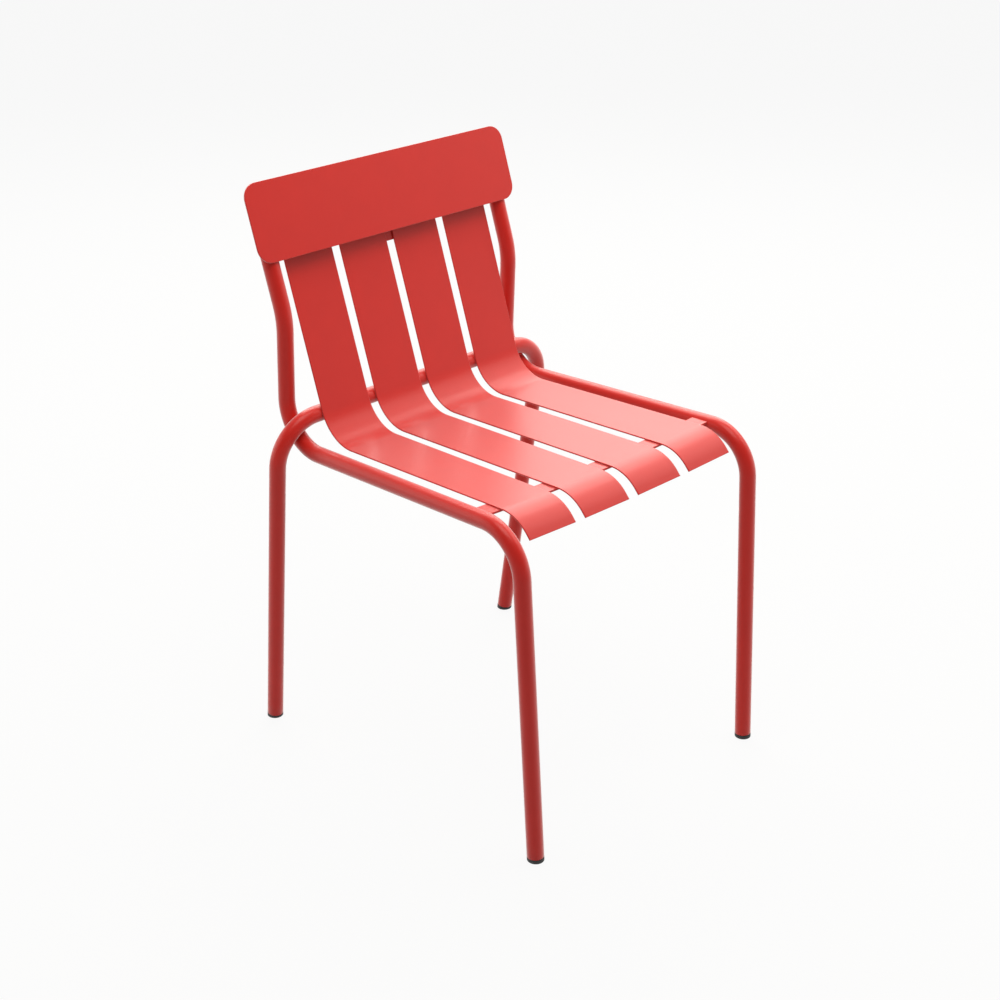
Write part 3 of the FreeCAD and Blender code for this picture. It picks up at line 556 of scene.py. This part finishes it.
def grid_faces(rows, columns, rows_close, columns_close, first):
    """Corner numbers of a grid's four-sided faces, where rows or columns may close on themselves."""
    row = np.arange(rows if rows_close else rows - 1)[:, None]
    column = np.arange(columns if columns_close else columns - 1)[None]
    next_row, next_column = (row + 1) % rows, (column + 1) % columns
    corners = [
        row * columns + column,
        next_row * columns + column,
        next_row * columns + next_column,
        row * columns + next_column,
    ]
    return first + np.stack([c.ravel() for c in corners], -1)


def add_piece(name, grids, material):
    """Joins grids of points into one closed mesh, faces it outwards and adds it to the scene.

    Each grid comes with whether its rows and its columns close on themselves.
    """
    points, faces, first = [], [], 0
    for grid, rows_close, columns_close in grids:
        rows, columns = grid.shape[:2]
        points.append(grid.reshape(-1, 3))
        faces.append(grid_faces(rows, columns, rows_close, columns_close, first))
        first += rows * columns
    mesh = bpy.data.meshes.new(name)
    mesh.from_pydata(np.concatenate(points).tolist(), [], np.concatenate(faces).tolist())
    shape = bmesh.new()
    shape.from_mesh(mesh)
    bmesh.ops.remove_doubles(shape, verts=shape.verts, dist=MERGE)
    bmesh.ops.dissolve_degenerate(shape, edges=shape.edges, dist=MERGE / 2)
    bmesh.ops.recalc_face_normals(shape, faces=shape.faces)
    if any(not edge.is_manifold for edge in shape.edges):
        raise RuntimeError(f"{name} isn't closed")
    shape.to_mesh(mesh)
    shape.free()
    mesh.shade_smooth()
    mesh.set_sharp_from_angle(angle=SHARP_ANGLE)
    mesh.materials.append(material)
    piece = bpy.data.objects.new(name, mesh)
    bpy.context.scene.collection.objects.link(piece)
    return piece


def add_metal_piece(node, grids):
    """A coated metal piece that stands for one node of the frame."""
    piece = add_piece(node + "_skin", grids, powder_coat(bpy.context.scene.chair_colours))
    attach(piece, "root")
    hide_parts(node)


def zone_steps(counts):
    """Values over zones 0 to 1, 1 to 2 and so on, each cut into its own number of equal steps."""
    zones = [np.linspace(zone, zone + 1, count, endpoint=False) for zone, count in enumerate(counts)]
    return np.concatenate([*zones, [len(counts)]])


def plate_columns(half_width, corner):
    """Columns across a plate, closer together round its corners so that the arcs look round."""
    arc = np.sin(np.linspace(0, math.pi / 2, CORNER_COLUMNS))
    right = (half_width - corner + corner * arc) / half_width
    between = np.linspace(-right[0], right[0], PLATE_COLUMNS)[1:-1]
    return np.concatenate([-right[::-1], between, right])


# Materials


def add_node(tree, kind, settings=None, links=None):
    """Adds a node. Settings are its own properties, and links give an input a value or a node's socket."""
    node = tree.nodes.new(kind)
    for name, value in (settings or {}).items():
        setattr(node, name, value)
    for name, value in (links or {}).items():
        if isinstance(value, bpy.types.NodeSocket):
            tree.links.new(value, node.inputs[name])
        else:
            node.inputs[name].default_value = value
    return node


def new_material(name):
    material = bpy.data.materials.new(name)
    material.use_nodes = True
    material.node_tree.nodes.clear()
    return material


def per_size(millimetres):
    """A noise texture's scale for features of that size."""
    return 1 / (millimetres * MM)


def powder_coat(colours):
    """Polyester powder coat, sprayed dry and baked on steel: an even satin skin.

    Its melt leaves a faint orange peel that breaks up the edges of reflections, and its
    matting agents give soft, wide highlights and a pale bloom at grazing angles, which the
    sheen stands for. The film's thickness drifts by hand spraying.
    """
    name = "Satin polyester powder coat"
    if name in bpy.data.materials:
        return bpy.data.materials[name]
    material = new_material(name)
    tree = material.node_tree
    place = add_node(tree, "ShaderNodeTexCoord").outputs["Object"]
    # Drift of the film's thickness, in patches about as wide as a spray pass.
    drift = add_node(
        tree,
        "ShaderNodeTexNoise",
        links={"Vector": place, "Scale": per_size(45), "Detail": 3.0, "Roughness": 0.6},
    )
    film = add_node(
        tree,
        "ShaderNodeMix",
        {"data_type": "RGBA"},
        {0: drift.outputs["Fac"], 6: colours.coat_thin, 7: colours.coat},
    )
    # Grains of matting agent vary the gloss. Real ones are finer, but this size shows in a close view.
    grain = add_node(
        tree, "ShaderNodeTexNoise", links={"Vector": place, "Scale": per_size(0.9), "Detail": 2.0}
    )
    gloss = add_node(
        tree,
        "ShaderNodeMapRange",
        links={
            "Value": grain.outputs["Fac"],
            "From Min": 0.3,
            "From Max": 0.7,
            "To Min": 0.28,
            "To Max": 0.37,
        },
    )
    # Orange peel: shallow waves a few millimetres wide.
    peel = add_node(
        tree,
        "ShaderNodeTexNoise",
        links={"Vector": place, "Scale": per_size(2.6), "Detail": 1.5, "Roughness": 0.4},
    )
    surface = add_node(
        tree,
        "ShaderNodeBump",
        links={"Height": peel.outputs["Fac"], "Distance": 0.03 * MM, "Strength": 0.8},
    )
    shader = add_node(
        tree,
        "ShaderNodeBsdfPrincipled",
        links={
            "Base Color": film.outputs[2],
            "Roughness": gloss.outputs["Result"],
            "Normal": surface.outputs["Normal"],
            "IOR": 1.5,
            "Specular IOR Level": 0.26,
            "Sheen Weight": 0.8,
            "Sheen Roughness": 0.4,
        },
    )
    add_node(tree, "ShaderNodeOutputMaterial", links={"Surface": shader.outputs["BSDF"]})
    return material


def glide_plastic(colours):
    """Polyethylene, injection moulded: a black, slightly waxy skin with the mould's fine spark texture."""
    material = new_material("Moulded black polyethylene")
    tree = material.node_tree
    place = add_node(tree, "ShaderNodeTexCoord").outputs["Object"]
    # Real spark texture is finer, but this size shows in a close view.
    spark = add_node(
        tree, "ShaderNodeTexNoise", links={"Vector": place, "Scale": per_size(0.5), "Detail": 2.0}
    )
    gloss = add_node(
        tree, "ShaderNodeMapRange", links={"Value": spark.outputs["Fac"], "To Min": 0.42, "To Max": 0.6}
    )
    surface = add_node(
        tree,
        "ShaderNodeBump",
        links={"Height": spark.outputs["Fac"], "Distance": 0.02 * MM, "Strength": 0.7},
    )
    shader = add_node(
        tree,
        "ShaderNodeBsdfPrincipled",
        links={
            "Base Color": colours.glide,
            "Roughness": gloss.outputs["Result"],
            "Normal": surface.outputs["Normal"],
            "IOR": 1.5,
        },
    )
    add_node(tree, "ShaderNodeOutputMaterial", links={"Surface": shader.outputs["BSDF"]})
    return material


def studio_paper(colours):
    """Matte seamless paper, which the camera and reflections see as nearly white with a soft shadow.

    For those rays most of it glows, and the rest stays lit paper, which keeps the shadow.
    """
    glowing_share = 0.92
    material = new_material("Pale seamless paper")
    tree = material.node_tree
    place = add_node(tree, "ShaderNodeTexCoord").outputs["Object"]
    fibre = add_node(
        tree, "ShaderNodeTexNoise", links={"Vector": place, "Scale": per_size(3), "Detail": 4.0}
    )
    surface = add_node(
        tree, "ShaderNodeBump", links={"Height": fibre.outputs["Fac"], "Distance": 0.05 * MM}
    )
    paper = add_node(
        tree,
        "ShaderNodeBsdfDiffuse",
        links={"Color": colours.floor, "Normal": surface.outputs["Normal"]},
    )
    white = add_node(tree, "ShaderNodeEmission", links={"Color": colours.paper_white, "Strength": 1.0})
    ray = add_node(tree, "ShaderNodeLightPath")
    camera_or_glossy = add_node(
        tree,
        "ShaderNodeMath",
        {"operation": "ADD"},
        {0: ray.outputs["Is Camera Ray"], 1: ray.outputs["Is Glossy Ray"]},
    )
    seen = add_node(
        tree,
        "ShaderNodeMath",
        {"operation": "ADD", "use_clamp": True},
        {0: camera_or_glossy.outputs[0], 1: ray.outputs["Is Transmission Ray"]},
    )
    share = add_node(
        tree, "ShaderNodeMath", {"operation": "MULTIPLY"}, {0: seen.outputs[0], 1: glowing_share}
    )
    mix = add_node(
        tree,
        "ShaderNodeMixShader",
        links={0: share.outputs[0], 1: paper.outputs["BSDF"], 2: white.outputs["Emission"]},
    )
    add_node(tree, "ShaderNodeOutputMaterial", links={"Surface": mix.outputs["Shader"]})
    return material


# Operators


class CHAIR_OT_tubes(bpy.types.Operator):
    """Bends the main tube and the rear leg hoop"""

    bl_idname = "chair.tubes"
    bl_label = "Bent tubes"

    def execute(self, context):
        sizes = context.scene.chair_sizes
        layout = Layout(sizes)
        main = both_sides(
            [
                layout.tube_end(layout.front_foot, layout.front_corner),
                layout.front_corner,
                layout.back_corner,
                layout.kink,
                layout.top_corner,
            ]
        )
        bends = [sizes.tube_bend, sizes.tube_bend, sizes.kink_bend, sizes.tube_bend]
        hoop = both_sides([layout.tube_end(layout.rear_foot, layout.hoop_corner), layout.hoop_corner])
        half_wall = sizes.tube_wall / 2
        for node, corners, radii in (
            ("main_tube", main, bends + bends[::-1]),
            ("rear_leg_hoop", hoop, [sizes.tube_bend] * 2),
        ):
            # The rounded end stands out by half a wall, so the line ends that much sooner.
            corners[0] += unit(corners[1] - corners[0]) * half_wall
            corners[-1] += unit(corners[-2] - corners[-1]) * half_wall
            grid = tube_grid(corners, radii, layout.radius, sizes.tube_wall)
            add_metal_piece(node, [(grid, True, True)])
        return {"FINISHED"}


class CHAIR_OT_slats(bpy.types.Operator):
    """Bends the four flat slats from back to seat and rolls their lips"""

    bl_idname = "chair.slats"
    bl_label = "Slats"

    def execute(self, context):
        sizes = context.scene.chair_sizes
        layout = Layout(sizes)
        across = np.linspace(-1, 1, SLAT_COLUMNS)
        along = zone_steps(SLAT_STEPS)
        for node, order in SLATS.items():
            place = slat_place(layout, order)
            grids = sheet_grids(place, across, along, sizes.slat_thickness, sizes.edge_round)
            add_metal_piece(node, grids)
        return {"FINISHED"}


class CHAIR_OT_plates(bpy.types.Operator):
    """Cuts the head plate, the tie plate and the front crossbar"""

    bl_idname = "chair.plates"
    bl_label = "Plates and crossbar"

    def execute(self, context):
        sizes = context.scene.chair_sizes
        layout = Layout(sizes)
        head = plate_place(
            layout,
            sizes.plate_half_width,
            sizes.plate_height,
            sizes.plate_rise,
            layout.plate_front,
            sizes.plate_corner,
        )
        tie = plate_place(
            layout,
            sizes.tie_width / 2,
            sizes.tie_height,
            sizes.tie_rise,
            sizes.slat_thickness + sizes.weld_gap,
            sizes.tie_corner,
        )
        rows = np.linspace(-1, 1, PLATE_ROWS)
        head_columns = plate_columns(sizes.plate_half_width, sizes.plate_corner)
        tie_columns = plate_columns(sizes.tie_width / 2, sizes.tie_corner)
        bar_columns = np.linspace(-1, 1, CROSSBAR_COLUMNS)
        for node, place, columns, thickness in (
            ("head_plate", head, head_columns, sizes.plate_thickness),
            ("tie_plate", tie, tie_columns, sizes.tie_thickness),
            ("front_crossbar", crossbar_place(layout), bar_columns, sizes.crossbar_thickness),
        ):
            add_metal_piece(node, sheet_grids(place, columns, rows, thickness, sizes.edge_round))
        return {"FINISHED"}


class CHAIR_OT_welds(bpy.types.Operator):
    """Lays the rippled weld beads along the frame's seams"""

    bl_idname = "chair.welds"
    bl_label = "Weld beads"

    def execute(self, context):
        sizes = context.scene.chair_sizes
        for node, size_name in WELDS.items():
            beads = beads_in(node, getattr(sizes, size_name))
            if node == "hoop_welds":
                beads = seam_beads(beads, sizes.hoop_bead_reach, sizes.hoop_bead_length / 2)
            grids = [
                (bead_grid(*bead, sizes.bead_diameter, sizes.bead_ripple), False, True) for bead in beads
            ]
            add_metal_piece(node, grids)
        return {"FINISHED"}


class CHAIR_OT_glides(bpy.types.Operator):
    """Moulds the four foot glides"""

    bl_idname = "chair.glides"
    bl_label = "Foot glides"

    def execute(self, context):
        layout = Layout(context.scene.chair_sizes)
        plastic = glide_plastic(context.scene.chair_colours)
        legs = {
            "front": (layout.front_foot, layout.front_corner),
            "rear": (layout.rear_foot, layout.hoop_corner),
        }
        for end, (foot, corner) in legs.items():
            for side, sign in (("left", -1), ("right", 1)):
                mirror = np.array([sign, 1, 1])
                node = f"{end}_{side}_glide"
                grid = glide_grid(layout, foot * mirror, corner * mirror)
                glide = add_piece(node + "_skin", [(grid, False, True)], plastic)
                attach(glide, "root")
                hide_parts(node)
        return {"FINISHED"}


class CHAIR_OT_stage(bpy.types.Operator):
    """Sets up the paper floor, the soft lights and the camera"""

    bl_idname = "chair.stage"
    bl_label = "Studio"

    def execute(self, context):
        colours = context.scene.chair_colours
        self.lay_paper(colours)
        self.light_world()
        # Each lamp's place, the height that it faces, its width and height, and its brightness.
        self.hang_lamp("Top softbox", (-0.3, -0.4, 2.6), 0.4, 1.5, 1.3, 4.8)
        self.hang_lamp("High right softbox", (1.9, -0.6, 2.3), 0.45, 2.3, 1.3, 3.55)
        self.hang_lamp("Back softbox", (1.4, 1.5, 2.2), 0.45, 2.8, 2.3, 5.2)
        self.hang_lamp("Right softbox", (1.9, -1.9, 1.0), 0.5, 2.6, 1.8, 0.7)
        self.hang_lamp("Left softbox", (-1.9, 1.9, 1.2), 0.5, 2.6, 2.0, 1.5)
        self.set_camera(context)
        return {"FINISHED"}

    def lay_paper(self, colours):
        """A round sheet of paper whose rim curves up like a bowl, by a quarter circle, into a low wall."""
        flat, bowl, wall = 6.5, 1.2, 1.6
        turn = np.linspace(0, math.pi / 2, BOWL_STEPS + 1)
        ring = np.concatenate([[0.0, flat / 2], flat + bowl * np.sin(turn), [flat + bowl]])
        height = np.concatenate([[0.0, 0.0], bowl * (1 - np.cos(turn)), [wall]])
        around = np.linspace(0, math.tau, AROUND_PAPER, endpoint=False)
        x = ring[:, None] * np.cos(around)
        y = ring[:, None] * np.sin(around)
        grid = np.stack([x, y, np.broadcast_to(height[:, None], x.shape)], -1)
        faces = grid_faces(*grid.shape[:2], False, True, 0)[:, ::-1]
        mesh = bpy.data.meshes.new("paper_floor")
        mesh.from_pydata(grid.reshape(-1, 3).tolist(), [], faces.tolist())
        mesh.validate()
        mesh.shade_smooth()
        mesh.materials.append(studio_paper(colours))
        paper = bpy.data.objects.new("paper_floor", mesh)
        bpy.context.scene.collection.objects.link(paper)

    def light_world(self):
        """An even pale room: one grey level all round."""
        level = 0.42
        world = bpy.data.worlds.new("Pale room")
        world.use_nodes = True
        tree = world.node_tree
        tree.nodes.clear()
        room = add_node(
            tree, "ShaderNodeBackground", links={"Color": (1.0, 1.0, 1.0, 1.0), "Strength": level}
        )
        add_node(tree, "ShaderNodeOutputWorld", links={"Surface": room.outputs["Background"]})
        bpy.context.scene.world = world

    def hang_lamp(self, name, place, faced_height, width, height, brightness):
        """A softbox that faces the chair's middle and is that bright.

        An area lamp's power is its face's brightness times its area times pi.
        """
        lamp = bpy.data.lights.new(name, "AREA")
        lamp.shape = "RECTANGLE"
        lamp.size, lamp.size_y = width, height
        lamp.energy = brightness * width * height * math.pi
        lamp.color = bpy.context.scene.chair_colours.lamp[:3]
        holder = bpy.data.objects.new(name, lamp)
        holder.location = place
        aim = Vector((0.0, 0.0, faced_height)) - Vector(place)
        holder.rotation_euler = aim.to_track_quat("-Z", "Y").to_euler()
        holder.visible_camera = False
        bpy.context.scene.collection.objects.link(holder)

    def set_camera(self, context):
        """The camera where the photograph's edges put it: how far it tips down and turns right."""
        tips_down, turns_right = math.radians(25.45), math.radians(44.24)
        lens = bpy.data.cameras.new("Studio camera")
        lens.lens = 66.67
        lens.sensor_width = 36
        camera = bpy.data.objects.new("Studio camera", lens)
        camera.location = (-1.5544, -1.5787, 1.3957)
        camera.rotation_euler = (math.pi / 2 - tips_down, 0, -turns_right)
        context.scene.collection.objects.link(camera)
        context.scene.camera = camera
        context.scene.view_settings.view_transform = "Standard"


class CHAIR_PT_panel(bpy.types.Panel):
    """Lists the steps that dress the chair"""

    bl_idname = "CHAIR_PT_panel"
    bl_label = "Bistro chair"
    bl_space_type = "VIEW_3D"
    bl_region_type = "UI"
    bl_category = "Chair"

    def draw(self, context):
        for step in STEPS:
            self.layout.operator(step.bl_idname)
        for group in (context.scene.chair_sizes, context.scene.chair_colours):
            box = self.layout.box()
            for name in group.__annotations__:
                box.prop(group, name)


STEPS = (CHAIR_OT_tubes, CHAIR_OT_slats, CHAIR_OT_plates, CHAIR_OT_welds, CHAIR_OT_glides, CHAIR_OT_stage)
CLASSES = (ChairSizes, ChairColours, *STEPS, CHAIR_PT_panel)


def register():
    for cls in CLASSES:
        bpy.utils.register_class(cls)
    bpy.types.Scene.chair_sizes = bpy.props.PointerProperty(type=ChairSizes)
    bpy.types.Scene.chair_colours = bpy.props.PointerProperty(type=ChairColours)


def unregister():
    del bpy.types.Scene.chair_colours
    del bpy.types.Scene.chair_sizes
    for cls in reversed(CLASSES):
        bpy.utils.unregister_class(cls)


def main():
    register()
    bpy.ops.chair.tubes()
    bpy.ops.chair.slats()
    bpy.ops.chair.plates()
    bpy.ops.chair.welds()
    bpy.ops.chair.glides()
    bpy.ops.chair.stage()
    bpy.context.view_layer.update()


if __name__ == "__main__":
    main()
